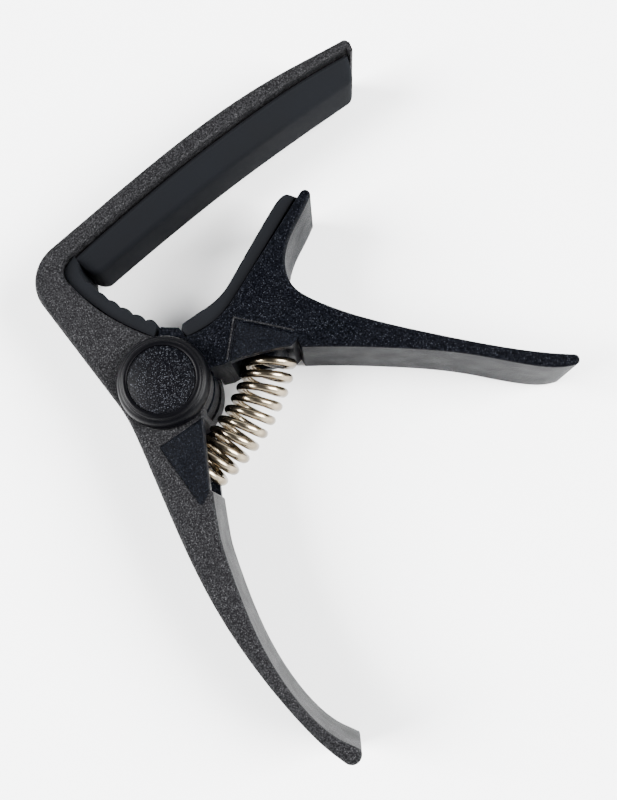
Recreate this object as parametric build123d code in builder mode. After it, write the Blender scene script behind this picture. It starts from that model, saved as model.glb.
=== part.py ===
"""Spring-loaded trigger capo for a guitar, as separate pieces around one pivot.

The capo lies on its back. Z runs along the pivot, with the back face at Z = 0 and the
front face at Z = THICKNESS. The origin is on the pivot's axis. The string arm lies
along +X on the +Y side, and both handles point to -Y.
"""

from math import cos, radians, sin
import os

from build123d import *

# Driving dimensions, in millimetres and degrees
THICKNESS = 14.0            # both castings, front face to back face
PAD_INSET = 1.0             # silicone stands this far inside both faces
BAR_START = 0.9             # left end of the string bar
TAPER = 3.2                 # how far each side of the string bar slopes in
EDGE_ROUND = 0.5            # rounding of the castings' outer edges
SEAT_CHAMFER = 0.2          # edges of a spring seat and its notch, which leave a fine seam
NEAR = 0.1                  # closer than this, an edge counts as on the front or back face
POCKET = 20.0               # a pocket's cut, which reaches past the open side of its seat
PAST_ARM = 60.0             # a cut along the string bar, which reaches past its end

FRONT_CHEEK_R = 7.0         # hub of the frame, in front of the knuckle
REAR_CHEEK_R = 7.5          # hub of the frame, behind the knuckle
KNUCKLE_R = 7.2             # hub of the lever
HUB_CLEARANCE = 0.35        # between a hub and the other casting
CHEEK = 4.2                 # thickness of each cheek of the frame's fork
WASHER = 0.4                # thickness of a friction washer
THRUST_GAP = 0.05           # between a friction washer and the knuckle

JOURNAL_R = 2.8             # barrel nut's shank, on which the lever turns
JOURNAL_FIT = 0.02          # barrel nut in the cheeks
BUSH_R = 3.8                # bush's outside
BUSH_FIT = 0.05             # bush on the barrel nut
FLANGE_R = 5.2              # barrel nut's flat head
FLANGE = 1.8
SCREW_R = 1.5
SCREW_HEAD_R = 3.0
SCREW_HEAD = 1.6
SCREW_WASHER = 0.4
SCREW_END = 5.0             # height at which the screw ends inside the barrel nut
HEX_SOCKET_R = 1.15
HEX_SOCKET_DEPTH = 1.0
BARREL_SHORT = 1.0          # barrel nut stops this far inside the front face
FRICTION_R = 6.0

CAP_R = 7.4                 # cap over the pivot screw
CAP_LIFT = 0.3              # cap's skirt clears the turning lever
CAP_GROOVE_DEPTH = 1.3
SPIGOT_IN = 4.6             # cap's own spigot, in the frame's groove
SPIGOT_OUT = 5.2
SPIGOT_FOOT = 12.8
CAVITY_R = 4.4              # room for the screw's head under the cap
BADGE_R = 5.3
BADGE = 0.5
BADGE_SHELF = 16.3          # height of the shelf the badge sits on

SPRING_R = 3.45             # mean radius of the coil
WIRE_R = 0.7
TURNS = 10
STEPS_PER_TURN = 12
SPRING_MID_Z = THICKNESS / 2
SPRING_TOP = (16.6, -5.5)   # centres of the end coils, and one point between them
SPRING_MID = (6.3, -11.4)
SPRING_LOW = (-4.7, -13.3)

SEAT_CHEEK = 1.8            # side wall of a spring seat
SPIGOT_R = 2.4
SPIGOT = 2.6
LOWER_FLOOR_X = -5.5        # floor of the lower seat's pocket
UPPER_FLOOR = (17.4, -5.0)  # middle of the upper seat's floor
UPPER_AXIS_ANGLE = 33.0     # direction of the spring's axis there

KNUCKLE_LOW = CHEEK + WASHER + THRUST_GAP
KNUCKLE_HIGH = THICKNESS - KNUCKLE_LOW
UPPER_AXIS = Vector(-cos(radians(UPPER_AXIS_ANGLE)), -sin(radians(UPPER_AXIS_ANGLE)), 0)
COIL_START = 200.0          # where the wire's first end points, in degrees
FRONT = Plane.XY.offset(THICKNESS)

os.makedirs("parts", exist_ok=True)


def write(piece, name):
    """Label one finished piece and write its STEP file."""
    piece.part.label = name
    export_step(piece.part, f"parts/{name}.step")


def long_rims(piece, length):
    """Edges of a piece's front and back faces that are longer than the length given."""
    edges = piece.faces().filter_by(Axis.Z).edges().filter_by(lambda edge: edge.length > length)
    return edges.filter_by(lambda edge: edge.center().Z < NEAR or edge.center().Z > THICKNESS - NEAR)


# ---------------------------------------------------------------- spring seats' outlines

with BuildSketch() as lower_seat_outline:
    with BuildLine():
        Polyline((-6.8, -7.5), (1.2, -8.0), (-4.7, -17.6), (-6.4, -18.5))
        ThreePointArc((-6.4, -18.5), (-7.1, -18.6), (-7.3, -18.0))
        Line((-7.3, -18.0), (-6.8, -7.5))
    make_face()

with BuildSketch() as upper_seat_outline:
    with BuildLine():
        Line((14.8, 0.8), (20.6, -6.6))
        ThreePointArc((20.6, -6.6), (20.9, -7.2), (20.4, -7.6))
        Line((20.4, -7.6), (19.0, -7.9))
        ThreePointArc((19.0, -7.9), (14.6, -5.5), (10.0, -3.7))
        Line((10.0, -3.7), (14.8, 0.8))
    make_face()


# ---------------------------------------------------------------- castings' outlines

with BuildSketch() as frame_outline:
    with BuildLine():
        # Back of the string arm, shoulder, spine and back of the handle
        Spline((58.6, 27.9), (54.5, 28.6), (46.0, 30.0), (34.0, 31.0), (18.0, 30.8), (-1.0, 29.7))
        shoulder = TangentArc((-1.0, 29.7), (-7.6, 22.6), tangent=(-1, -0.07))
        Line(shoulder @ 1, (-7.8, 2.5))
        handle_back = Spline(
            (-7.8, 2.5), (-9.0, -5.5), (-12.3, -18.6), (-14.7, -30.5), (-15.6, -42.5), (-15.0, -54.0), (-13.5, -60.8),
            tangents=[(0, -1), (0.33, -1)],
        )
        # Tip of the handle, and its inner side up to the spring seat
        tip = ThreePointArc(handle_back @ 1, (-12.1, -61.8), (-10.6, -60.7))
        Spline(
            tip @ 1, (-11.8, -58.3), (-13.2, -53.6), (-13.5, -47.0), (-11.8, -36.2), (-8.6, -26.0), (-4.8, -18.5),
            tangents=[(-0.35, 1), (0.55, 1)],
        )
        # Open side of the seat's notch, then inside the hub, to the neck side of the spine
        Polyline((-4.8, -18.5), (1.6, -7.8), (2.4, -6.5), (2.4, 6.0), (3.0, 7.3))
        spine = Spline((3.0, 7.3), (0.4, 12.3), (-0.9, 15.9), (-2.2, 23.6))
        corner = ThreePointArc(spine @ 1, (-1.4, 25.9), (1.0, 26.8))
        arm = Spline(corner @ 1, (12.0, 27.6), (28.0, 28.2), (46.0, 27.7), (58.1, 26.2))
        ThreePointArc(arm @ 1, (59.3, 26.9), (58.6, 27.9))
    make_face()

with BuildSketch() as lever_outline:
    with BuildLine():
        # From the hub, along the open side of the seat's notch, to the handle's underside
        Polyline((5.0, -2.0), (7.1, -2.6), (19.4, -8.5))
        underside = Spline(
            (19.4, -8.5), (31.8, -18.9), (40.2, -27.3), (46.9, -35.2), (51.0, -38.15),
            tangents=[(1.0, -0.75), (1.0, -0.4)],
        )
        tip = JernArc(underside @ 1, underside % 1, radius=0.85, arc_size=160)
        # Top of the handle, saddle and back of the jaw
        saddle = Spline(
            tip @ 1, (50.0, -35.0), (44.1, -28.7), (37.2, -20.2), (31.0, -11.9), (26.5, -4.2), (25.4, 0.0),
            (27.5, 4.3), (36.7, 9.6),
            tangents=[tip % 1, (1.0, 0.6)],
        )
        ThreePointArc(saddle @ 1, (37.3, 10.8), (36.2, 11.3))
        # Face that carries the jaw pad, back to the hub
        Line((36.2, 11.3), (17.0, 4.2))
        ThreePointArc((17.0, 4.2), (12.0, 3.1), (6.6, 4.1))
        Polyline((6.6, 4.1), (5.0, 4.0), (5.0, -2.0))
    make_face()

with BuildSketch() as stop_lug_outline:
    with BuildLine():
        Polyline((2.2, 6.4), (3.3, 6.7), (4.95, 8.0), (5.4, 7.6), (7.1, 6.1), (7.1, 3.6), (2.2, 3.6), (2.2, 6.4))
    make_face()


# ---------------------------------------------------------------- frame

with BuildPart() as frame:
    extrude(frame_outline.sketch, amount=THICKNESS)
    rims = frame.faces().filter_by(Axis.Z).edges()
    fillet(rims.filter_by(lambda edge: edge.center().X < 0 or edge.center().Y > 8), EDGE_ROUND)
    # End lip of the arm, beside the string bar
    with BuildSketch():
        with BuildLine():
            Polyline((58.4, 27.0), (58.15, 25.6), (58.3, 25.2), (58.8, 25.3), (59.3, 26.8), (58.4, 27.0))
        make_face()
    extrude(amount=THICKNESS)
    # Hub cheeks of the fork
    with BuildSketch(FRONT):
        Circle(FRONT_CHEEK_R)
    extrude(amount=-CHEEK)
    with BuildSketch():
        Circle(REAR_CHEEK_R)
    extrude(amount=CHEEK)
    with BuildSketch(Plane.XY.offset(CHEEK)):
        Circle(KNUCKLE_R + HUB_CLEARANCE)
    extrude(amount=THICKNESS - 2 * CHEEK, mode=Mode.SUBTRACT)
    # Notch for the lower spring seat, through the full thickness
    with BuildSketch():
        add(lower_seat_outline.sketch)
        with BuildLine():
            Polyline((1.2, -8.0), (3.2, -8.2), (-3.0, -19.5), (-4.6, -18.3), (-4.7, -17.6), (-5.0, -16.0), (1.2, -8.0))
        make_face()
    extrude(amount=THICKNESS, mode=Mode.SUBTRACT)
    rims = long_rims(frame, 7.0)
    chamfer(rims.filter_by(lambda edge: edge.center().X > -7.2 and -15.0 < edge.center().Y < -7.6), SEAT_CHAMFER)
    # Bore, counterbore for the barrel nut's head, groove for the cap's spigot
    with BuildSketch():
        Circle(JOURNAL_R + JOURNAL_FIT)
    extrude(amount=THICKNESS, mode=Mode.SUBTRACT)
    with BuildSketch():
        Circle(FLANGE_R + 0.1)
    extrude(amount=FLANGE, mode=Mode.SUBTRACT)
    with BuildSketch(FRONT):
        Circle(SPIGOT_OUT + 0.05)
        Circle(SPIGOT_IN - 0.05, mode=Mode.SUBTRACT)
    extrude(amount=-CAP_GROOVE_DEPTH, mode=Mode.SUBTRACT)
write(frame, "frame")


# ---------------------------------------------------------------- lever

with BuildPart() as lever:
    extrude(lever_outline.sketch, amount=THICKNESS)
    rims = lever.faces().filter_by(Axis.Z).edges()
    outer = rims.filter_by(lambda edge: edge.center().X > 15 or edge.center().Y > 3)
    fillet(outer.filter_by(lambda edge: edge.center().X > 9), EDGE_ROUND)
    # Room for the two cheeks of the frame
    with BuildSketch(FRONT):
        Circle(FRONT_CHEEK_R + 0.3)
    extrude(amount=KNUCKLE_HIGH - THICKNESS, mode=Mode.SUBTRACT)
    with BuildSketch():
        Circle(REAR_CHEEK_R + HUB_CLEARANCE)
    extrude(amount=KNUCKLE_LOW, mode=Mode.SUBTRACT)
    # Knuckle, with the lug that rests against the end of the guard when the jaw is shut
    with BuildSketch(Plane.XY.offset(KNUCKLE_LOW)):
        Circle(KNUCKLE_R)
        add(stop_lug_outline.sketch)
    extrude(amount=KNUCKLE_HIGH - KNUCKLE_LOW)
    # Beyond the hub, the lug is as deep as the pads
    with BuildSketch(Plane.XY.offset(PAD_INSET)):
        add(stop_lug_outline.sketch)
        Circle(REAR_CHEEK_R + HUB_CLEARANCE, mode=Mode.SUBTRACT)
    extrude(amount=THICKNESS - 2 * PAD_INSET)
    with BuildSketch():
        Circle(BUSH_R)
    extrude(amount=THICKNESS, mode=Mode.SUBTRACT)
    # Notch for the upper spring seat, through the full thickness
    with BuildSketch():
        add(upper_seat_outline.sketch)
        with BuildLine():
            Polyline(
                (10.0, -3.7), (14.6, -5.0), (19.0, -7.3), (20.4, -7.6), (20.0, -10.0), (8.9, -4.2), (9.2, -3.5),
                (10.0, -3.7),
            )
        make_face()
    extrude(amount=THICKNESS, mode=Mode.SUBTRACT)
    rims = long_rims(lever, 5.0)
    chamfer(rims.filter_by(lambda edge: edge.center().X < 19.0 and -6.0 < edge.center().Y < 0.5), SEAT_CHAMFER)
write(lever, "lever")


# ---------------------------------------------------------------- silicone pads

with BuildPart() as string_pad:
    with BuildSketch(Plane.XY.offset(PAD_INSET)):
        with BuildLine():
            # String face and the notch before the guard
            Line((57.7, 27.2), (57.7, 24.7))
            ThreePointArc((57.7, 24.7), (57.1, 23.2), (55.4, 22.4))
            ThreePointArc((55.4, 22.4), (29.0, 23.5), (3.6, 22.6))
            ThreePointArc((3.6, 22.6), (1.8, 23.2), (0.7, 24.6))
            Polyline((0.7, 24.6), (0.2, 23.6), (0.1, 21.6))
            # Ribbed face of the guard
            ThreePointArc((0.1, 21.6), (0.8, 20.6), (0.4, 19.4))
            ThreePointArc((0.4, 19.4), (1.2, 18.4), (1.0, 17.1))
            ThreePointArc((1.0, 17.1), (1.9, 16.1), (1.8, 14.8))
            ThreePointArc((1.8, 14.8), (2.7, 13.8), (2.7, 12.5))
            ThreePointArc((2.7, 12.5), (3.7, 11.6), (3.7, 10.4))
            ThreePointArc((3.7, 10.4), (4.6, 9.7), (4.9, 8.7))
            # End of the guard, then inside the frame back to the start
            Polyline((4.9, 8.7), (3.0, 7.35), (0.5, 7.8), (-5.0, 12.0), (-4.0, 26.0), (1.0, 28.4), (28.0, 29.6))
            Line((28.0, 29.6), (57.7, 27.2))
        make_face()
        add(frame_outline.sketch, mode=Mode.SUBTRACT)
    extrude(amount=THICKNESS - 2 * PAD_INSET)
    # The bar narrows from its root to the string face
    with BuildSketch(Plane.YZ.offset(BAR_START)):
        for side, inset in ((PAD_INSET, TAPER), (THICKNESS - PAD_INSET, -TAPER)):
            with BuildLine():
                Polyline((26.3, side), (21.3, side + inset), (21.3, side - inset), (26.3, side))
            make_face()
    extrude(amount=PAST_ARM, mode=Mode.SUBTRACT)
write(string_pad, "string_pad")

with BuildPart() as jaw_pad:
    with BuildSketch(Plane.XY.offset(PAD_INSET)):
        with BuildLine():
            Polyline((35.4, 10.6), (35.4, 11.3), (34.7, 12.7))
            ThreePointArc((34.7, 12.7), (34.0, 13.0), (33.1, 12.9))
            Spline((33.1, 12.9), (25.5, 10.0), (18.6, 6.9), (15.3, 5.6))
            ThreePointArc((15.3, 5.6), (11.5, 5.9), (7.9, 6.0))
            Polyline((7.9, 6.0), (7.15, 5.6), (7.15, 3.6), (17.0, 3.6), (35.4, 10.6))
        make_face()
        add(lever_outline.sketch, mode=Mode.SUBTRACT)
    extrude(amount=THICKNESS - 2 * PAD_INSET)
write(jaw_pad, "jaw_pad")


# ---------------------------------------------------------------- pivot

with BuildPart() as pivot_barrel:
    with BuildSketch():
        Circle(FLANGE_R)
    extrude(amount=FLANGE)
    with BuildSketch():
        Circle(JOURNAL_R)
    extrude(amount=THICKNESS - BARREL_SHORT)
    with BuildSketch(Plane.XY.offset(SCREW_END)):
        Circle(SCREW_R + JOURNAL_FIT)
    extrude(amount=THICKNESS, mode=Mode.SUBTRACT)
write(pivot_barrel, "pivot_barrel")

with BuildPart() as pivot_screw:
    with BuildSketch(Plane.XY.offset(SCREW_END)):
        Circle(SCREW_R)
    extrude(amount=THICKNESS + SCREW_WASHER - SCREW_END)
    with BuildSketch(FRONT.offset(SCREW_WASHER)):
        Circle(SCREW_HEAD_R)
    extrude(amount=SCREW_HEAD)
    with BuildSketch(FRONT.offset(SCREW_WASHER + SCREW_HEAD)):
        RegularPolygon(HEX_SOCKET_R, 6)
    extrude(amount=-HEX_SOCKET_DEPTH, mode=Mode.SUBTRACT)
write(pivot_screw, "pivot_screw")

with BuildPart() as screw_washer:
    with BuildSketch(FRONT):
        Circle(SCREW_HEAD_R + 0.6)
        Circle(SCREW_R + 0.2, mode=Mode.SUBTRACT)
    extrude(amount=SCREW_WASHER)
write(screw_washer, "screw_washer")

with BuildPart() as lever_bush:
    with BuildSketch(Plane.XY.offset(KNUCKLE_LOW)):
        Circle(BUSH_R)
        Circle(JOURNAL_R + BUSH_FIT, mode=Mode.SUBTRACT)
    extrude(amount=KNUCKLE_HIGH - KNUCKLE_LOW)
write(lever_bush, "lever_bush")

with BuildSketch() as friction_washer_outline:
    Circle(FRICTION_R)
    Circle(JOURNAL_R + 0.1, mode=Mode.SUBTRACT)

with BuildPart() as rear_friction_washer:
    with BuildSketch(Plane.XY.offset(CHEEK)):
        add(friction_washer_outline.sketch)
    extrude(amount=WASHER)
write(rear_friction_washer, "rear_friction_washer")

with BuildPart() as front_friction_washer:
    with BuildSketch(Plane.XY.offset(THICKNESS - CHEEK)):
        add(friction_washer_outline.sketch)
    extrude(amount=-WASHER)
write(front_friction_washer, "front_friction_washer")


# ---------------------------------------------------------------- cap

with BuildPart() as cap_ring:
    with BuildSketch(Plane.XZ):
        with BuildLine():
            # Spigot in the frame's groove, foot on the frame, skirt over the lever
            Polyline(
                (SPIGOT_IN, THICKNESS), (SPIGOT_IN, SPIGOT_FOOT), (SPIGOT_OUT, SPIGOT_FOOT), (SPIGOT_OUT, THICKNESS),
                (6.9, THICKNESS), (6.9, THICKNESS + CAP_LIFT), (CAP_R, THICKNESS + CAP_LIFT), (7.3, 15.2),
            )
            # Sloping side, step and flat lip
            ThreePointArc((7.3, 15.2), (7.0, 16.0), (6.55, 16.4))
            Line((6.55, 16.4), (6.3, 16.5))
            ThreePointArc((6.3, 16.5), (6.15, 16.85), (5.85, 17.0))
            # Recess for the badge, shelf and cavity over the screw's head
            Polyline(
                (5.85, 17.0), (BADGE_R + 0.05, 17.0), (BADGE_R + 0.05, BADGE_SHELF), (CAVITY_R, BADGE_SHELF),
                (CAVITY_R, THICKNESS), (SPIGOT_IN, THICKNESS),
            )
        make_face()
    revolve(axis=Axis.Z)
write(cap_ring, "cap_ring")

with BuildPart() as cap_badge:
    with BuildSketch(Plane.XY.offset(BADGE_SHELF)):
        Circle(BADGE_R)
    extrude(amount=BADGE)
write(cap_badge, "cap_badge")


# ---------------------------------------------------------------- spring and its seats

with BuildPart() as lower_spring_seat:
    extrude(lower_seat_outline.sketch, amount=THICKNESS)
    # Pocket between the two side walls, open to the spring
    with BuildSketch(Plane.XY.offset(SEAT_CHEEK)):
        with Locations((LOWER_FLOOR_X, SPRING_LOW[1])):
            Rectangle(POCKET, POCKET, align=(Align.MIN, Align.CENTER))
    extrude(amount=THICKNESS - 2 * SEAT_CHEEK, mode=Mode.SUBTRACT)
    # Spigot inside the end coil
    with BuildSketch(Plane((LOWER_FLOOR_X, SPRING_LOW[1], SPRING_MID_Z), z_dir=(1, 0, 0))):
        Circle(SPIGOT_R)
    extrude(amount=SPIGOT)
    chamfer(long_rims(lower_spring_seat, 7.0), SEAT_CHAMFER)
write(lower_spring_seat, "lower_spring_seat")

with BuildPart() as upper_spring_seat:
    extrude(upper_seat_outline.sketch, amount=THICKNESS)
    with BuildSketch(Plane.XY.offset(SEAT_CHEEK)):
        with Locations(Location(UPPER_FLOOR, UPPER_AXIS_ANGLE)):
            Rectangle(POCKET, POCKET, align=(Align.MAX, Align.CENTER))
    extrude(amount=THICKNESS - 2 * SEAT_CHEEK, mode=Mode.SUBTRACT)
    with BuildSketch(Plane((*UPPER_FLOOR, SPRING_MID_Z), z_dir=UPPER_AXIS)):
        Circle(SPIGOT_R)
    extrude(amount=SPIGOT)
    chamfer(long_rims(upper_spring_seat, 5.0), SEAT_CHAMFER)
write(upper_spring_seat, "upper_spring_seat")

# The coil winds round an arc through the centres of its seats
with BuildLine() as spring_arc:
    ThreePointArc(SPRING_TOP, SPRING_MID, SPRING_LOW)
arc_centre = spring_arc.edge().arc_center
coil_points = []
for step in range(round(TURNS * STEPS_PER_TURN) + 1):
    share = step / (TURNS * STEPS_PER_TURN)
    outward = (spring_arc.edge() @ share - arc_centre).normalized()
    turn = radians(360 * TURNS * share + COIL_START)
    coil_points.append(
        spring_arc.edge() @ share + outward * SPRING_R * cos(turn) + Vector(0, 0, SPRING_MID_Z + SPRING_R * sin(turn))
    )

with BuildPart() as spring:
    with BuildLine() as wire:
        Spline(*coil_points)
    with BuildSketch(Plane(wire.edge() @ 0, z_dir=wire.edge() % 0)):
        Circle(WIRE_R)
    sweep(path=wire.edge(), is_frenet=True)
write(spring, "spring")
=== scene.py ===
"""Dresses a spring-loaded guitar capo: powder-coated castings, silicone pads, coil, cap and seats.

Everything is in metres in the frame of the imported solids: Z runs along the pivot, from the
back face at 0 to the front face, +X follows the string arm and +Y points to it.
"""

from __future__ import annotations

import logging
import math
from dataclasses import dataclass, field
from enum import Enum
from typing import Iterable, Sequence

import bmesh
import bpy
from mathutils import Matrix, Vector

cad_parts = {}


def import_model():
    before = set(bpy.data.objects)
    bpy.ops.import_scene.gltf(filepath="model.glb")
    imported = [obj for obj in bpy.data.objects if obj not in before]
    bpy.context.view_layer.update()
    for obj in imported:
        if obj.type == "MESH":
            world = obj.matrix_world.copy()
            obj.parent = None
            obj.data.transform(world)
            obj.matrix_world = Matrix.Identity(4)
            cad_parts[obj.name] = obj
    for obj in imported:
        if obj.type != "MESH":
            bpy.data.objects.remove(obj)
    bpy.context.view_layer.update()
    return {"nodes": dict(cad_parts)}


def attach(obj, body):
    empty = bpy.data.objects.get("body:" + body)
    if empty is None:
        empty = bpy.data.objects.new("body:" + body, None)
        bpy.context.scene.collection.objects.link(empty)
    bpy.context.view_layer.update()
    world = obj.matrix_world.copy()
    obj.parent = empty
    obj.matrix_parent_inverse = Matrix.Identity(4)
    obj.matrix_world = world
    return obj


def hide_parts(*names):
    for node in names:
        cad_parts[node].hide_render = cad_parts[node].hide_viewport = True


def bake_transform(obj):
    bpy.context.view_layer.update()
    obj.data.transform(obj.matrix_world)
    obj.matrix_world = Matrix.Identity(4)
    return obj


log = logging.getLogger("capo")

MM = 0.001
PAD_LOW, PAD_HIGH = 1.0, 13.0       # the silicone's back and front, in millimetres
WELD = 1e-7                         # points closer than this, in metres, become one
SAME = 1e-6                         # coordinates closer than this, in metres, count as equal
MIDDLE = (0.3, 0.7)                 # where most of a noise pattern's values lie

Point2 = tuple[float, float]
Colour = tuple[float, float, float]


# --------------------------------------------------------------------------- shape helpers


def smooth_path(points: Sequence[Point2], per_span: int = 6) -> list[Point2]:
    """Runs a smooth curve through a few points.

    Args:
        points: the points, in order, that the curve passes through.
        per_span: how many pieces each span is divided into.

    Returns:
        Points along the curve, both ends included.
    """
    ends = [points[0], *points, points[-1]]
    path: list[Point2] = []
    for before, start, end, after in zip(ends, ends[1:], ends[2:], ends[3:]):
        for step in range(per_span):
            t = step / per_span
            path.append(tuple(
                0.5 * (2 * b + (c - a) * t + (2 * a - 5 * b + 4 * c - d) * t * t + (3 * b - a - 3 * c + d) * t ** 3)
                for a, b, c, d in zip(before, start, end, after)
            ))
    path.append(tuple(points[-1]))
    return path


def height_on(path: Sequence[Point2], x: float) -> float:
    """Reads a path that runs from left to right.

    Args:
        path: the path's points.
        x: the first coordinate to look up.

    Returns:
        The second coordinate there.
    """
    for (x0, y0), (x1, y1) in zip(path, path[1:]):
        if x <= x1:
            return y0 + (y1 - y0) * max(0.0, (x - x0) / (x1 - x0))
    return path[-1][1]


def verts_of(made: dict[str, list]) -> list[bmesh.types.BMVert]:
    """Picks the points out of an operator's result.

    Args:
        made: what the bmesh operator returned.

    Returns:
        Its new points.
    """
    return [item for item in made["geom"] if isinstance(item, bmesh.types.BMVert)]


def rims_of(bm: bmesh.types.BMesh, above: float = -math.inf) -> list[bmesh.types.BMEdge]:
    """Finds the edges round the flat faces of a slab.

    Args:
        bm: the slab.
        above: leaves out edges that aren't above this height, in millimetres.

    Returns:
        The edges that lie level.
    """
    return [
        edge for edge in bm.edges
        if abs(edge.verts[0].co.z - edge.verts[1].co.z) < SAME and edge.verts[0].co.z > above * MM + SAME
    ]


def extruded(outline: Sequence[Point2], low: float, high: float) -> bmesh.types.BMesh:
    """Makes a closed slab from a flat outline.

    Args:
        outline: corners in millimetres, in order.
        low: height of the slab's back, in millimetres.
        high: height of its front.

    Returns:
        The slab, in metres.
    """
    bm = bmesh.new()
    corners = [bm.verts.new((x * MM, y * MM, low * MM)) for x, y in outline]
    base = bm.faces.new(corners)
    moved = verts_of(bmesh.ops.extrude_face_region(bm, geom=[base]))
    bmesh.ops.translate(bm, verts=moved, vec=(0, 0, (high - low) * MM))
    bmesh.ops.recalc_face_normals(bm, faces=bm.faces)
    return bm


def round_edges(bm: bmesh.types.BMesh, edges: Iterable[bmesh.types.BMEdge], radius: float, segments: int = 3) -> None:
    """Rounds edges of a mesh.

    Args:
        bm: the mesh.
        edges: the edges to round.
        radius: in millimetres.
        segments: pieces across the rounding.
    """
    bmesh.ops.bevel(
        bm, geom=list(edges), offset=radius * MM, segments=segments, profile=0.5, affect="EDGES",
        material=-1, clamp_overlap=True,
    )


def finished(bm: bmesh.types.BMesh, name: str, smooth_angle: float = 35.0) -> bpy.types.Object:
    """Turns a bmesh into an object at the origin, with smooth shading up to an angle.

    Args:
        bm: the mesh, which is freed.
        name: the new object's name.
        smooth_angle: edges sharper than this, in degrees, stay sharp.

    Returns:
        The object, linked to the scene.
    """
    bmesh.ops.remove_doubles(bm, verts=bm.verts, dist=WELD)
    bmesh.ops.recalc_face_normals(bm, faces=bm.faces)
    for face in bm.faces:
        face.smooth = True
    for edge in bm.edges:
        edge.smooth = edge.calc_face_angle(0.0) < math.radians(smooth_angle)
    mesh = bpy.data.meshes.new(name)
    bm.to_mesh(mesh)
    bm.free()
    piece = bpy.data.objects.new(name, mesh)
    bpy.context.scene.collection.objects.link(piece)
    return piece


# --------------------------------------------------------------------------- finishes


class Graph:
    """A material's node tree, built one node at a time."""

    def __init__(self, name: str) -> None:
        """Starts an empty material with one Principled shader.

        Args:
            name: the material's name.
        """
        self.material = bpy.data.materials.new(name)
        self.material.use_nodes = True
        self.tree = self.material.node_tree
        self.tree.nodes.clear()
        self.output = self.tree.nodes.new("ShaderNodeOutputMaterial")
        self.shader = self.tree.nodes.new("ShaderNodeBsdfPrincipled")
        self.link(self.shader.outputs["BSDF"], self.output.inputs["Surface"])
        self.place = self.tree.nodes.new("ShaderNodeTexCoord").outputs["Object"]

    def link(self, source: bpy.types.NodeSocket, target: bpy.types.NodeSocket) -> None:
        """Joins two sockets.

        Args:
            source: the output to read.
            target: the input it feeds.
        """
        self.tree.links.new(source, target)

    def noise(self, scale: float, detail: float = 2.0, roughness: float = 0.5) -> bpy.types.NodeSocket:
        """Adds a noise pattern.

        Args:
            scale: features per metre.
            detail: octaves.
            roughness: how strong the finer octaves are.

        Returns:
            The pattern's value socket.
        """
        node = self.tree.nodes.new("ShaderNodeTexNoise")
        node.inputs["Scale"].default_value = scale
        node.inputs["Detail"].default_value = detail
        node.inputs["Roughness"].default_value = roughness
        self.link(self.place, node.inputs["Vector"])
        return node.outputs["Fac"]

    def cells(self, scale: float) -> bpy.types.ShaderNodeTexVoronoi:
        """Adds a cell pattern.

        Args:
            scale: cells per metre.

        Returns:
            The pattern's node.
        """
        node = self.tree.nodes.new("ShaderNodeTexVoronoi")
        node.inputs["Scale"].default_value = scale
        self.link(self.place, node.inputs["Vector"])
        return node

    def ranged(
        self, value: bpy.types.NodeSocket, low: float, high: float, to_low: float = 0.0, to_high: float = 1.0
    ) -> bpy.types.NodeSocket:
        """Maps a value from one range to another, clamped.

        Args:
            value: the socket to read.
            low: value that becomes to_low.
            high: value that becomes to_high.
            to_low: lower result.
            to_high: upper result.

        Returns:
            The result's socket.
        """
        node = self.tree.nodes.new("ShaderNodeMapRange")
        self.link(value, node.inputs["Value"])
        for name, number in (("From Min", low), ("From Max", high), ("To Min", to_low), ("To Max", to_high)):
            node.inputs[name].default_value = number
        return node.outputs["Result"]

    def times(self, first: bpy.types.NodeSocket, second: bpy.types.NodeSocket) -> bpy.types.NodeSocket:
        """Multiplies two values.

        Args:
            first: a value.
            second: another value.

        Returns:
            The product's socket.
        """
        node = self.tree.nodes.new("ShaderNodeMath")
        node.operation = "MULTIPLY"
        self.link(first, node.inputs[0])
        self.link(second, node.inputs[1])
        return node.outputs[0]

    def mixed(
        self, share: bpy.types.NodeSocket, first: Colour | bpy.types.NodeSocket, second: Colour
    ) -> bpy.types.NodeSocket:
        """Mixes two colours by a share.

        Args:
            share: 0 gives the first colour, 1 the second.
            first: a colour, or the socket of an earlier mix.
            second: a colour.

        Returns:
            The mixed colour's socket.
        """
        node = self.tree.nodes.new("ShaderNodeMix")
        node.data_type = "RGBA"
        self.link(share, node.inputs["Factor"])
        if isinstance(first, bpy.types.NodeSocket):
            self.link(first, node.inputs["A"])
        else:
            node.inputs["A"].default_value = (*first, 1.0)
        node.inputs["B"].default_value = (*second, 1.0)
        return node.outputs["Result"]

    def roughen(self, pattern: bpy.types.NodeSocket, roughness: float, below: float, above: float) -> None:
        """Varies the shader's roughness with a pattern.

        Args:
            pattern: the pattern to follow.
            roughness: the roughness to vary about.
            below: how far it falls.
            above: how far it rises.
        """
        varied = self.ranged(pattern, *MIDDLE, roughness - below, roughness + above)
        self.link(varied, self.shader.inputs["Roughness"])

    def bump(self, height: bpy.types.NodeSocket, strength: float, depth: float) -> None:
        """Adds relief to the shader, on top of what it has.

        Args:
            height: the relief's pattern.
            strength: share of the relief that shows.
            depth: height of the pattern's full range, in metres.
        """
        node = self.tree.nodes.new("ShaderNodeBump")
        node.inputs["Strength"].default_value = strength
        node.inputs["Distance"].default_value = depth
        self.link(height, node.inputs["Height"])
        if self.shader.inputs["Normal"].is_linked:
            self.link(self.shader.inputs["Normal"].links[0].from_socket, node.inputs["Normal"])
        self.link(node.outputs["Normal"], self.shader.inputs["Normal"])


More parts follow.
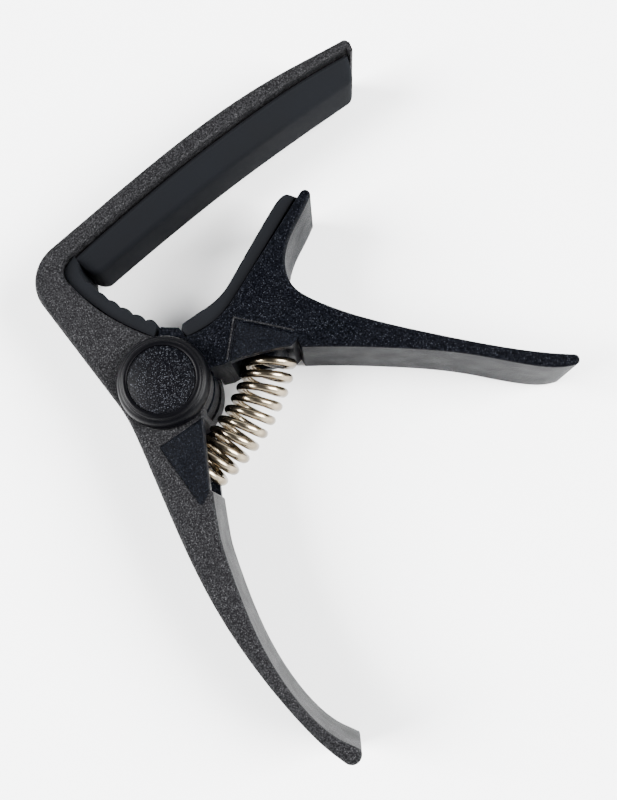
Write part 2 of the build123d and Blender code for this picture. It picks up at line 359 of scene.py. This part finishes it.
@dataclass(frozen=True)
class PowderCoat:
    """Sand-textured coat with a fine sparkle."""

    name: str
    base: Colour
    fleck: Colour
    spark: Colour
    roughness: float = 0.42
    grain: float = 4200.0           # grains per metre
    shine: float = 0.03             # how strongly the lacquer reflects
    spark_share: float = 0.68       # higher leaves fewer sparks
    relief: float = 0.00011         # height of the grain, in metres
    mottle: float = 260.0           # broad patches per metre
    grain_range: tuple[float, float] = (0.42, 0.68)
    spark_fade: float = 0.2         # how gradually sparks light up
    sparks_per_grain: float = 1.3
    spark_edge: float = 0.6         # a spark fades from its core out to its edge
    spark_core: float = 0.1

    def make(self) -> bpy.types.Material:
        """Builds the material.

        Returns:
            The material.
        """
        graph = Graph(self.name)
        shader = graph.shader
        grain = graph.noise(self.grain, 1.5, 0.6)
        broad = graph.noise(self.mottle)
        cells = graph.cells(self.grain * self.sparks_per_grain)
        sparks = graph.ranged(cells.outputs["Color"], self.spark_share, self.spark_share + self.spark_fade)
        core = graph.ranged(cells.outputs["Distance"], self.spark_edge, self.spark_core)
        tone = graph.mixed(graph.ranged(grain, *self.grain_range), self.base, self.fleck)
        tone = graph.mixed(graph.times(sparks, core), tone, self.spark)
        graph.link(tone, shader.inputs["Base Color"])
        graph.roughen(broad, self.roughness, 0.04, 0.05)
        shader.inputs["Specular IOR Level"].default_value = self.shine
        graph.bump(grain, 0.8, self.relief)
        return graph.material


@dataclass(frozen=True)
class Silicone:
    """Matte silicone with a faint bloom and fine grain."""

    name: str
    base: Colour
    roughness: float = 0.8
    shine: float = 0.05
    lighter: float = 1.35           # the bloom's colour, as a share of the base
    relief: float = 0.00004

    def make(self) -> bpy.types.Material:
        """Builds the material.

        Returns:
            The material.
        """
        graph = Graph(self.name)
        shader = graph.shader
        bloom = graph.noise(150.0, 3.0)
        grain = graph.noise(5200.0)
        tone = graph.mixed(graph.ranged(bloom, 0.35, 0.7), self.base, tuple(self.lighter * c for c in self.base))
        graph.link(tone, shader.inputs["Base Color"])
        graph.roughen(bloom, self.roughness, 0.05, 0.06)
        shader.inputs["Specular IOR Level"].default_value = self.shine
        graph.bump(grain, 0.22, self.relief)
        return graph.material


@dataclass(frozen=True)
class Plastic:
    """Moulded plastic: smooth, or with a fine speckled grain."""

    name: str
    base: Colour
    roughness: float
    grain: float = 4200.0           # grains per metre
    relief: float = 0.2             # share of the grain that shows
    shine: float = 0.5
    lighter: float = 1.9            # the grain's colour, as a share of the base
    depth: float = 0.00004          # height of the grain, in metres

    def make(self) -> bpy.types.Material:
        """Builds the material.

        Returns:
            The material.
        """
        graph = Graph(self.name)
        shader = graph.shader
        grain = graph.noise(self.grain)
        broad = graph.noise(320.0)
        tone = graph.mixed(graph.ranged(grain, 0.45, 0.72), self.base, tuple(self.lighter * c for c in self.base))
        graph.link(tone, shader.inputs["Base Color"])
        graph.roughen(broad, self.roughness, 0.04, 0.05)
        shader.inputs["Specular IOR Level"].default_value = self.shine
        graph.bump(grain, self.relief, self.depth)
        return graph.material


@dataclass(frozen=True)
class Glitter:
    """Lacquered glitter: dark ground with bright, tilted flakes."""

    name: str
    ground: Colour
    flake: Colour
    flakes: float = 6800.0          # flakes per metre
    shine: float = 0.06
    tilt: float = 0.00008           # relief that tilts the flakes, in metres

    def make(self) -> bpy.types.Material:
        """Builds the material.

        Returns:
            The material.
        """
        graph = Graph(self.name)
        shader = graph.shader
        cells = graph.cells(self.flakes)
        bright = graph.ranged(cells.outputs["Color"], 0.58, 0.8)
        core = graph.ranged(cells.outputs["Distance"], 0.5, 0.1)
        graph.link(graph.mixed(graph.times(bright, core), self.ground, self.flake), shader.inputs["Base Color"])
        graph.link(graph.ranged(cells.outputs["Color"], 0.0, 1.0, 0.5, 0.25), shader.inputs["Roughness"])
        shader.inputs["Specular IOR Level"].default_value = self.shine
        graph.bump(cells.outputs["Color"], 0.35, self.tilt)
        return graph.material


@dataclass(frozen=True)
class PlatedMetal:
    """Bright or dull metal with drawing marks."""

    name: str
    base: Colour
    roughness: float
    stain: Colour
    relief: float = 0.00002

    def make(self) -> bpy.types.Material:
        """Builds the material.

        Returns:
            The material.
        """
        graph = Graph(self.name)
        shader = graph.shader
        broad = graph.noise(420.0, 3.0)
        fine = graph.noise(6000.0)
        tone = graph.mixed(graph.ranged(broad, 0.42, 0.72), self.base, self.stain)
        graph.link(tone, shader.inputs["Base Color"])
        graph.roughen(fine, self.roughness, 0.03, 0.05)
        shader.inputs["Metallic"].default_value = 1.0
        graph.bump(fine, 0.08, self.relief)
        return graph.material


class Finish(Enum):
    """The finishes of the capo's pieces, by the record's material slot."""

    FRAME_COAT = "frame_coat"
    LEVER_COAT = "lever_coat"
    SILICONE = "silicone"
    SEAT = "seat_plastic"
    CAP = "cap_plastic"
    BADGE = "badge_glitter"
    NICKEL = "spring_nickel"
    STEEL = "pivot_steel"
    BRASS = "bush_brass"
    NYLON = "washer_nylon"


@dataclass
class Finishes:
    """Every material, made once."""

    made: dict[Finish, bpy.types.Material] = field(default_factory=dict)

    def build(self) -> None:
        """Makes the materials."""
        self.made = {
            Finish.FRAME_COAT: PowderCoat(
                "frame_coat", (0.0025, 0.0025, 0.0028), (0.0155, 0.0155, 0.0166), (0.055, 0.055, 0.057),
            ).make(),
            Finish.LEVER_COAT: PowderCoat(
                "lever_coat", (0.0001, 0.0002, 0.0005), (0.0026, 0.003, 0.0045), (0.024, 0.026, 0.032),
                spark_share=0.66, shine=0.018,
            ).make(),
            Finish.SILICONE: Silicone("silicone", (0.0022, 0.0025, 0.0032)).make(),
            Finish.SEAT: PowderCoat(
                "seat_plastic", (0.0001, 0.0002, 0.0006), (0.0028, 0.0034, 0.0052), (0.018, 0.02, 0.025),
                spark_share=0.7, shine=0.05, relief=0.00007,
            ).make(),
            Finish.CAP: Plastic("cap_plastic", (0.0006, 0.0006, 0.0009), 0.34, 5200.0, 0.3, 0.05).make(),
            Finish.BADGE: Glitter("badge_glitter", (0.0002, 0.0003, 0.0008), (0.06, 0.064, 0.074)).make(),
            Finish.NICKEL: PlatedMetal("spring_nickel", (0.26, 0.218, 0.155), 0.22, (0.15, 0.122, 0.086)).make(),
            Finish.STEEL: PlatedMetal("pivot_steel", (0.55, 0.55, 0.56), 0.32, (0.42, 0.42, 0.42)).make(),
            Finish.BRASS: PlatedMetal("bush_brass", (0.62, 0.46, 0.2), 0.3, (0.5, 0.36, 0.15)).make(),
            Finish.NYLON: Plastic("washer_nylon", (0.5, 0.5, 0.46), 0.5).make(),
        }

    def dress(self, piece: bpy.types.Object, finish: Finish) -> None:
        """Gives a piece its material.

        Args:
            piece: the object to dress.
            finish: its finish.
        """
        piece.data.materials.clear()
        piece.data.materials.append(self.made[finish])


# --------------------------------------------------------------------------- sub-assemblies


@dataclass
class Castings:
    """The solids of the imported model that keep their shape."""

    finishes: Finishes
    dressing: dict[str, Finish] = field(default_factory=lambda: {
        "frame": Finish.FRAME_COAT,
        "lever": Finish.LEVER_COAT,
        "lower_spring_seat": Finish.SEAT,
        "upper_spring_seat": Finish.SEAT,
        "pivot_barrel": Finish.STEEL,
        "pivot_screw": Finish.STEEL,
        "screw_washer": Finish.STEEL,
        "lever_bush": Finish.BRASS,
        "front_friction_washer": Finish.NYLON,
        "rear_friction_washer": Finish.NYLON,
    })

    def build(self, nodes: dict[str, bpy.types.Object]) -> None:
        """Dresses each solid.

        Args:
            nodes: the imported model's objects by name.
        """
        for name, finish in self.dressing.items():
            self.finishes.dress(nodes[name], finish)
            log.info("dressed %s as %s", name, finish.value)


@dataclass
class StringPad:
    """Silicone bar under the string arm, and the ribbed guard along the spine."""

    finishes: Finishes
    left: float = 0.95              # ends of the bar along the arm
    right: float = 57.7
    left_round: float = 2.8
    right_round: float = 2.4
    stations: int = 60
    neck: float = 2.0               # neck between the bar and the arm stands in this far
    neck_gap: float = 0.45          # dark gap beside the neck
    face_low: float = 3.3           # the string face is narrower than the root
    face_high: float = 10.7
    lip: float = 0.25               # bevel of the root's long corners
    edge: float = 0.8
    edge_segments: int = 4
    smooth_angle: float = 50.0
    arm_inner: tuple[Point2, ...] = ((0.0, 26.6), (12.0, 27.6), (28.0, 28.2), (46.0, 27.7), (58.4, 26.2))
    string_face: tuple[Point2, ...] = ((0.0, 22.4), (14.0, 23.15), (29.0, 23.5), (44.0, 23.15), (58.4, 22.4))
    guard_back: tuple[Point2, ...] = (
        (3.1, 7.4), (0.6, 12.35), (-0.7, 16.0), (-1.9, 20.8), (-2.0, 23.8), (-1.3, 25.6), (1.0, 26.5),
    )
    guard_foot: tuple[Point2, ...] = ((3.1, 7.45), (4.75, 8.75))
    guard_corner: tuple[Point2, ...] = ((0.2, 23.6), (0.55, 24.6), (1.1, 25.4), (1.25, 26.55))
    cusps: tuple[Point2, ...] = (
        (0.1, 21.6), (0.4, 19.4), (1.0, 17.1), (1.8, 14.8), (2.7, 12.5), (3.7, 10.4), (4.75, 8.9),
    )
    bulge: float = 0.42             # height of a rib between two cusps
    rib_shares: tuple[float, ...] = (0.0, 0.12, 0.3, 0.5, 0.7, 0.88)
    rib_power: float = 0.7          # below 1, a rib's flanks are steeper
    guard_edge: float = 0.18

    def section(self) -> tuple[tuple[bool, float, float], ...]:
        """Lists the corners of the bar's section.

        Returns:
            For each corner, whether it follows the arm (or else the string face), how far it
            stands from that, and its height.
        """
        gap, bevelled = -self.neck_gap, -self.neck_gap - 2 * self.lip
        return (
            (True, 0.0, PAD_LOW + self.neck), (True, 0.0, PAD_HIGH - self.neck),
            (True, gap, PAD_HIGH - self.neck), (True, gap, PAD_HIGH - self.lip), (True, bevelled, PAD_HIGH),
            (False, 0.0, self.face_high), (False, 0.0, self.face_low),
            (True, bevelled, PAD_LOW), (True, gap, PAD_LOW + self.lip), (True, gap, PAD_LOW + self.neck),
        )

    def bar(self) -> bpy.types.Object:
        """Builds the bar: a tapered section carried along the arm, with its ends rounded off.

        Returns:
            The bar.
        """
        inner = smooth_path(self.arm_inner)
        face = smooth_path(self.string_face)
        section = self.section()
        bm = bmesh.new()
        role = bm.verts.layers.int.new("role")
        rim = [bm.verts.new((0.0, offset * MM, z * MM)) for _, offset, z in section]
        for index, vert in enumerate(rim):
            vert[role] = index
        ring = [bm.edges.new(pair) for pair in zip(rim, rim[1:] + rim[:1])]
        ends = [ring]
        for _ in range(self.stations):
            made = bmesh.ops.extrude_edge_only(bm, edges=ring)
            bmesh.ops.translate(bm, verts=verts_of(made), vec=(1.0, 0, 0))
            ring = [item for item in made["geom"] if isinstance(item, bmesh.types.BMEdge)]
            ring = [edge for edge in ring if abs(edge.verts[0].co.x - edge.verts[1].co.x) < SAME]
        ends.append(ring)
        for edges in ends:
            bmesh.ops.contextual_create(bm, geom=edges)
        for vert in bm.verts:
            turn = math.pi * round(vert.co.x) / self.stations
            x = self.left + (self.right - self.left) * (1 - math.cos(turn)) / 2
            at_arm, offset, _ = section[vert[role]]
            y = height_on(inner, x) + offset if at_arm else max(height_on(face, x), self.end_curve(x))
            vert.co.x, vert.co.y = x * MM, y * MM
        long_edges = [edge for edge in bm.edges if edge.verts[0][role] == edge.verts[1][role]]
        face_edges = [edge for edge in long_edges if not section[edge.verts[0][role]][0]]
        bmesh.ops.recalc_face_normals(bm, faces=bm.faces)
        round_edges(bm, face_edges, self.edge, self.edge_segments)
        return finished(bm, "string_bar", self.smooth_angle)

    def end_curve(self, x: float) -> float:
        """Gives the least height of the string face near the bar's rounded ends.

        Args:
            x: the place along the arm, in millimetres.

        Returns:
            The least height, below every other one where the ends aren't near.
        """
        reach = {self.left: self.left_round, self.right: self.right_round}
        height = -1.0
        for end, radius in reach.items():
            inside = radius - abs(x - end)
            if inside > 0:
                base = self.string_face[0][1]
                height = max(height, base + radius - math.sqrt(max(0.0, radius ** 2 - inside ** 2)))
        return height

    def guard(self) -> bpy.types.Object:
        """Builds the guard: its ribbed face follows the spine, round the corner to the bar.

        Returns:
            The guard.
        """
        outline = list(reversed(smooth_path(self.guard_back, 5)))
        outline += self.guard_foot
        ribs: list[Point2] = []
        for start, end in zip(self.cusps, self.cusps[1:]):
            along = Vector(end) - Vector(start)
            out = Vector((-along.y, along.x)).normalized()
            for share in self.rib_shares:
                lift = self.bulge * math.sin(math.pi * share) ** self.rib_power
                spot = Vector(start) + along * share + out * lift
                ribs.append((spot.x, spot.y))
        outline += [*reversed(ribs), *self.guard_corner]
        bm = extruded(outline, PAD_LOW, PAD_HIGH)
        round_edges(bm, rims_of(bm), self.guard_edge, 2)
        return finished(bm, "spine_guard")

    def build(self) -> None:
        """Builds both and stands them in for the pad's solid."""
        for piece in (self.bar(), self.guard()):
            self.finishes.dress(piece, Finish.SILICONE)
            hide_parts("string_pad")
            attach(piece, "frame")
            log.info("built %s", piece.name)


@dataclass
class JawPad:
    """Silicone strip on the jaw."""

    finishes: Finishes
    face: tuple[Point2, ...] = (
        (7.9, 6.3), (10.7, 6.15), (13.6, 5.95), (16.3, 6.3), (19.1, 7.35),
        (23.3, 9.15), (28.6, 11.35), (31.9, 12.65), (33.1, 12.95),
    )
    tip: tuple[Point2, ...] = ((33.8, 13.0), (34.5, 12.8), (34.9, 12.2), (35.45, 11.3))
    back: tuple[Point2, ...] = (
        (34.6, 11.15), (31.5, 9.95), (27.5, 8.3), (22.6, 6.35), (17.2, 4.3), (14.5, 3.5), (12.0, 3.2), (7.2, 3.95),
    )
    heel: Point2 = (7.15, 5.5)
    edge: float = 0.35

    def build(self) -> None:
        """Builds the strip and stands it in for the pad's solid."""
        outline = [*smooth_path(self.face, 5), *self.tip, *smooth_path(self.back, 3), self.heel]
        bm = extruded(outline, PAD_LOW, PAD_HIGH)
        round_edges(bm, rims_of(bm), self.edge, 3)
        piece = finished(bm, "jaw_strip")
        self.finishes.dress(piece, Finish.SILICONE)
        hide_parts("jaw_pad")
        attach(piece, "lever")
        log.info("built %s", piece.name)


@dataclass
class NotchHighlightRim:
    """Fine raised rim on the lever, round two sides of the notch for the upper spring seat, in the frame's lighter coat
    as a painted highlight along the notch's edge.
    """

    finishes: Finishes
    path: tuple[Point2, ...] = ((9.85, -3.35), (14.82, 1.3), (20.75, -6.25))
    width: float = 0.26
    low: float = 13.9
    high: float = 14.12
    edge: float = 0.08

    def build(self) -> None:
        """Builds the rim as a mitred strip with rounded top edges."""
        (ax, ay), (bx, by), (cx, cy) = self.path
        start, corner, end = Vector((ax, ay)), Vector((bx, by)), Vector((cx, cy))
        sides = [(corner - start).normalized(), (end - corner).normalized()]
        out = [Vector((-side.y, side.x)) * self.width for side in sides]
        mitre = (out[0] + out[1]) / (1 + out[0].normalized().dot(out[1].normalized()))
        outer = [start + out[0], corner + mitre, end + out[1]]
        outline = [tuple(spot) for spot in (start, corner, end, *reversed(outer))]
        bm = extruded(outline, self.low, self.high)
        round_edges(bm, rims_of(bm, self.low), self.edge, 2)
        piece = finished(bm, "notch_highlight_rim")
        # the frame's lighter coat on this lever strip is a painted highlight along the lever's edge round the notch
        self.finishes.dress(piece, Finish.FRAME_COAT)
        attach(piece, "lever")
        log.info("built %s", piece.name)


@dataclass
class CoilSpring:
    """Compression coil, wound round an arc between the two seats."""

    finishes: Finishes
    wire: float = 0.72
    radius: float = 3.45
    turns: float = 10.1
    facets: int = 14
    steps_per_turn: int = 28
    lean: float = -0.1              # the bent coil's turns lean along its axis
    start_turn: float = 200.0       # where the wire starts, in degrees
    centre_z: float = 7.0
    smooth_angle: float = 60.0
    end_reach: float = 0.15         # the bend goes on past each end by this share of the length
    top: Point2 = (16.3, -5.65)
    middle: Point2 = (6.3, -11.4)
    low: Point2 = (-4.8, -13.3)

    def arc(self) -> tuple[Vector, float, float, float]:
        """Finds the arc through the three centres.

        Returns:
            Its centre, radius, and the angles of the top and low ends.
        """
        (ax, ay), (bx, by), (cx, cy) = self.top, self.middle, self.low
        twice = 2 * (ax * (by - cy) + bx * (cy - ay) + cx * (ay - by))
        a2, b2, c2 = ax * ax + ay * ay, bx * bx + by * by, cx * cx + cy * cy
        centre = Vector((
            (a2 * (by - cy) + b2 * (cy - ay) + c2 * (ay - by)) / twice,
            (a2 * (cx - bx) + b2 * (ax - cx) + c2 * (bx - ax)) / twice,
        ))
        first, last = Vector(self.top) - centre, Vector(self.low) - centre
        return centre, first.length, math.atan2(first.y, first.x), math.atan2(last.y, last.x)

    def build(self) -> None:
        """Winds a straight coil and bends it along the arc between both seats."""
        steps = round(self.turns * self.steps_per_turn)
        bm = bmesh.new()
        bmesh.ops.create_circle(
            bm, cap_ends=False, segments=self.facets, radius=self.wire,
            matrix=Matrix.Rotation(math.radians(self.start_turn), 4, "Z") @ Matrix.Translation((self.radius, 0, 0))
            @ Matrix.Rotation(math.pi / 2, 4, "X"),
        )
        centre, bend, first, last = self.arc()
        length = bend * (first - last)
        bmesh.ops.spin(
            bm, geom=bm.verts[:] + bm.edges[:], cent=(0, 0, 0), axis=(0, 0, 1),
            dvec=(0, 0, length / steps), angle=2 * math.pi * self.turns, steps=steps, use_duplicate=False,
        )
        for vert in bm.verts:
            outward, upward = vert.co.x, vert.co.y
            share = (vert.co.z + self.lean * outward) / length
            angle = first + (last - first) * share
            vert.co = Vector((
                (centre.x + (bend + outward) * math.cos(angle)) * MM,
                (centre.y + (bend + outward) * math.sin(angle)) * MM,
                (self.centre_z + upward) * MM,
            ))
        bmesh.ops.holes_fill(bm, edges=[edge for edge in bm.edges if edge.is_boundary], sides=0)
        piece = finished(bm, "coil", self.smooth_angle)
        self.finishes.dress(piece, Finish.NICKEL)
        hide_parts("spring")
        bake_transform(piece)
        log.info("built %s with %d faces", piece.name, len(piece.data.polygons))


@dataclass
class Cap:
    """Round cap over the pivot, with a glitter disc let into it."""

    finishes: Finishes
    segments: int = 96
    profile: tuple[Point2, ...] = (
        (4.4, 14.0), (4.4, 16.3), (5.36, 16.3), (5.36, 16.92), (5.44, 17.0), (5.8, 17.0), (6.0, 16.95), (6.18, 16.82),
        (6.28, 16.62), (6.34, 16.5), (6.5, 16.45), (6.7, 16.36), (6.9, 16.17), (7.08, 15.9), (7.24, 15.5), (7.34, 15.0),
        (7.4, 14.35), (7.36, 14.3), (6.9, 14.3), (6.9, 14.0),
    )
    badge: float = 5.3
    badge_low: float = 16.3
    badge_high: float = 16.78
    badge_edge: float = 0.08
    smooth_angle: float = 50.0

    def spun(self) -> bmesh.types.BMesh:
        """Spins the ring's profile of (radius, height) about the pivot.

        Returns:
            The turned mesh, in metres.
        """
        bm = bmesh.new()
        verts = [bm.verts.new((r * MM, 0, z * MM)) for r, z in self.profile]
        for start, end in zip(verts, verts[1:] + verts[:1]):
            bm.edges.new((start, end))
        bmesh.ops.spin(
            bm, geom=bm.verts[:] + bm.edges[:], cent=(0, 0, 0), axis=(0, 0, 1), angle=2 * math.pi, steps=self.segments,
            use_merge=True, use_duplicate=False,
        )
        return bm

    def build(self) -> None:
        """Builds the ring and the disc."""
        ring = finished(self.spun(), "cap_shell", self.smooth_angle)
        self.finishes.dress(ring, Finish.CAP)
        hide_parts("cap_ring")
        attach(ring, "frame")
        bm = bmesh.new()
        bmesh.ops.create_circle(
            bm, cap_ends=True, segments=self.segments, radius=self.badge * MM,
            matrix=Matrix.Translation((0, 0, self.badge_low * MM)),
        )
        top = verts_of(bmesh.ops.extrude_face_region(bm, geom=bm.faces[:]))
        bmesh.ops.translate(bm, verts=top, vec=(0, 0, (self.badge_high - self.badge_low) * MM))
        round_edges(bm, rims_of(bm, self.badge_low), self.badge_edge, 2)
        disc = finished(bm, "glitter_disc", self.smooth_angle)
        self.finishes.dress(disc, Finish.BADGE)
        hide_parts("cap_badge")
        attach(disc, "frame")
        log.info("built %s and %s", ring.name, disc.name)


# --------------------------------------------------------------------------- stage


@dataclass(frozen=True)
class Lamp:
    """One square soft light, aimed at the capo."""

    name: str
    place: tuple[float, float, float]
    size: float                     # its side, in metres
    power: float                    # in watts

    def hang(self, target: Sequence[float]) -> None:
        """Hangs the light.

        Args:
            target: the point it is aimed at, in metres.
        """
        lamp = bpy.data.lights.new(self.name, "AREA")
        lamp.size = self.size
        lamp.energy = self.power
        holder = bpy.data.objects.new(self.name, lamp)
        holder.location = self.place
        holder.rotation_mode = "QUATERNION"
        aim = Vector(target) - Vector(self.place)
        holder.rotation_quaternion = aim.to_track_quat("-Z", "Y")
        bpy.context.scene.collection.objects.link(holder)


@dataclass
class Studio:
    """Pale floor, soft lights and the camera."""

    floor_size: float = 3.0
    floor_gap: float = 0.0002
    floor_rough: float = 0.9
    floor_tones: tuple[Colour, Colour] = ((0.93, 0.935, 0.935), (0.95, 0.95, 0.95))
    low_sky: float = 4.3            # brightness of the surroundings near the floor and overhead
    high_sky: float = 0.08
    sky_from: float = 0.2           # the sky fades between these heights of a unit sphere
    sky_to: float = 0.72
    sky_colour: Colour = (0.95, 0.97, 1.0)
    lamps: tuple[Lamp, ...] = (
        Lamp("key", (0.9, -0.75, 0.9), 0.9, 126.0),
        Lamp("fill", (-0.9, 0.6, 0.8), 0.8, 104.0),
    )
    target: tuple[float, float, float] = (0.015, -0.01, 0.0)
    lens: float = 38.25             # camera's focal length and sensor, in millimetres
    sensor: float = 36.0
    clip: tuple[float, float] = (0.01, 20.0)
    place: tuple[float, float, float] = (0.004183, -0.038570, 0.142712)
    forward: tuple[float, float, float] = (0.08705, 0.16970, -0.98164)
    up: tuple[float, float, float] = (0.62404, 0.75881, 0.18651)

    def floor(self) -> None:
        """Lays the floor."""
        bm = bmesh.new()
        bmesh.ops.create_grid(
            bm, x_segments=1, y_segments=1, size=self.floor_size / 2,
            matrix=Matrix.Translation((0, 0, -self.floor_gap)),
        )
        floor = finished(bm, "floor")
        graph = Graph("floor")
        grain = graph.noise(40.0, 2.0)
        graph.link(graph.mixed(grain, *self.floor_tones), graph.shader.inputs["Base Color"])
        graph.shader.inputs["Roughness"].default_value = self.floor_rough
        floor.data.materials.append(graph.material)

    def sky(self, tree: bpy.types.NodeTree) -> None:
        """Makes the surrounding light: bright near the floor and dim overhead.

        Args:
            tree: the world's node tree.
        """
        backdrop = tree.nodes["Background"]
        direction = tree.nodes.new("ShaderNodeTexCoord").outputs["Generated"]
        parts = tree.nodes.new("ShaderNodeSeparateXYZ")
        tree.links.new(direction, parts.inputs[0])
        rise = tree.nodes.new("ShaderNodeMapRange")
        tree.links.new(parts.outputs["Z"], rise.inputs["Value"])
        for name, number in (
            ("From Min", self.sky_from), ("From Max", self.sky_to), ("To Min", self.low_sky), ("To Max", self.high_sky)
        ):
            rise.inputs[name].default_value = number
        tree.links.new(rise.outputs["Result"], backdrop.inputs["Strength"])
        backdrop.inputs["Color"].default_value = (*self.sky_colour, 1.0)

    def build(self) -> None:
        """Sets the floor, the surrounding light, the lamps and the camera."""
        self.floor()
        world = bpy.data.worlds.new("studio")
        world.use_nodes = True
        self.sky(world.node_tree)
        bpy.context.scene.world = world
        for lamp in self.lamps:
            lamp.hang(self.target)
        data = bpy.data.cameras.new("camera")
        data.lens = self.lens
        data.sensor_width = self.sensor
        data.clip_start, data.clip_end = self.clip
        camera = bpy.data.objects.new("camera", data)
        forward, up = Vector(self.forward).normalized(), Vector(self.up).normalized()
        right = forward.cross(up).normalized()
        turned = Matrix((right, right.cross(forward), -forward)).transposed()
        camera.matrix_world = Matrix.Translation(self.place) @ turned.to_4x4()
        bpy.context.scene.collection.objects.link(camera)
        bpy.context.scene.camera = camera


def corners(box: tuple[Vector, Vector]) -> list[list[float]]:
    """Turns a box into plain lists of numbers.

    Args:
        box: its low and high corners.

    Returns:
        The same corners as lists.
    """
    return [list(corner) for corner in box]


def main() -> None:
    """Builds the capo's looks, piece by piece."""
    logging.basicConfig(level=logging.INFO, format="%(name)s: %(message)s")
    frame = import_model()
    finishes = Finishes()
    finishes.build()
    Castings(finishes).build(frame["nodes"])
    StringPad(finishes).build()
    JawPad(finishes).build()
    NotchHighlightRim(finishes).build()
    CoilSpring(finishes).build()
    Cap(finishes).build()
    Studio().build()


if __name__ == "__main__":
    main()
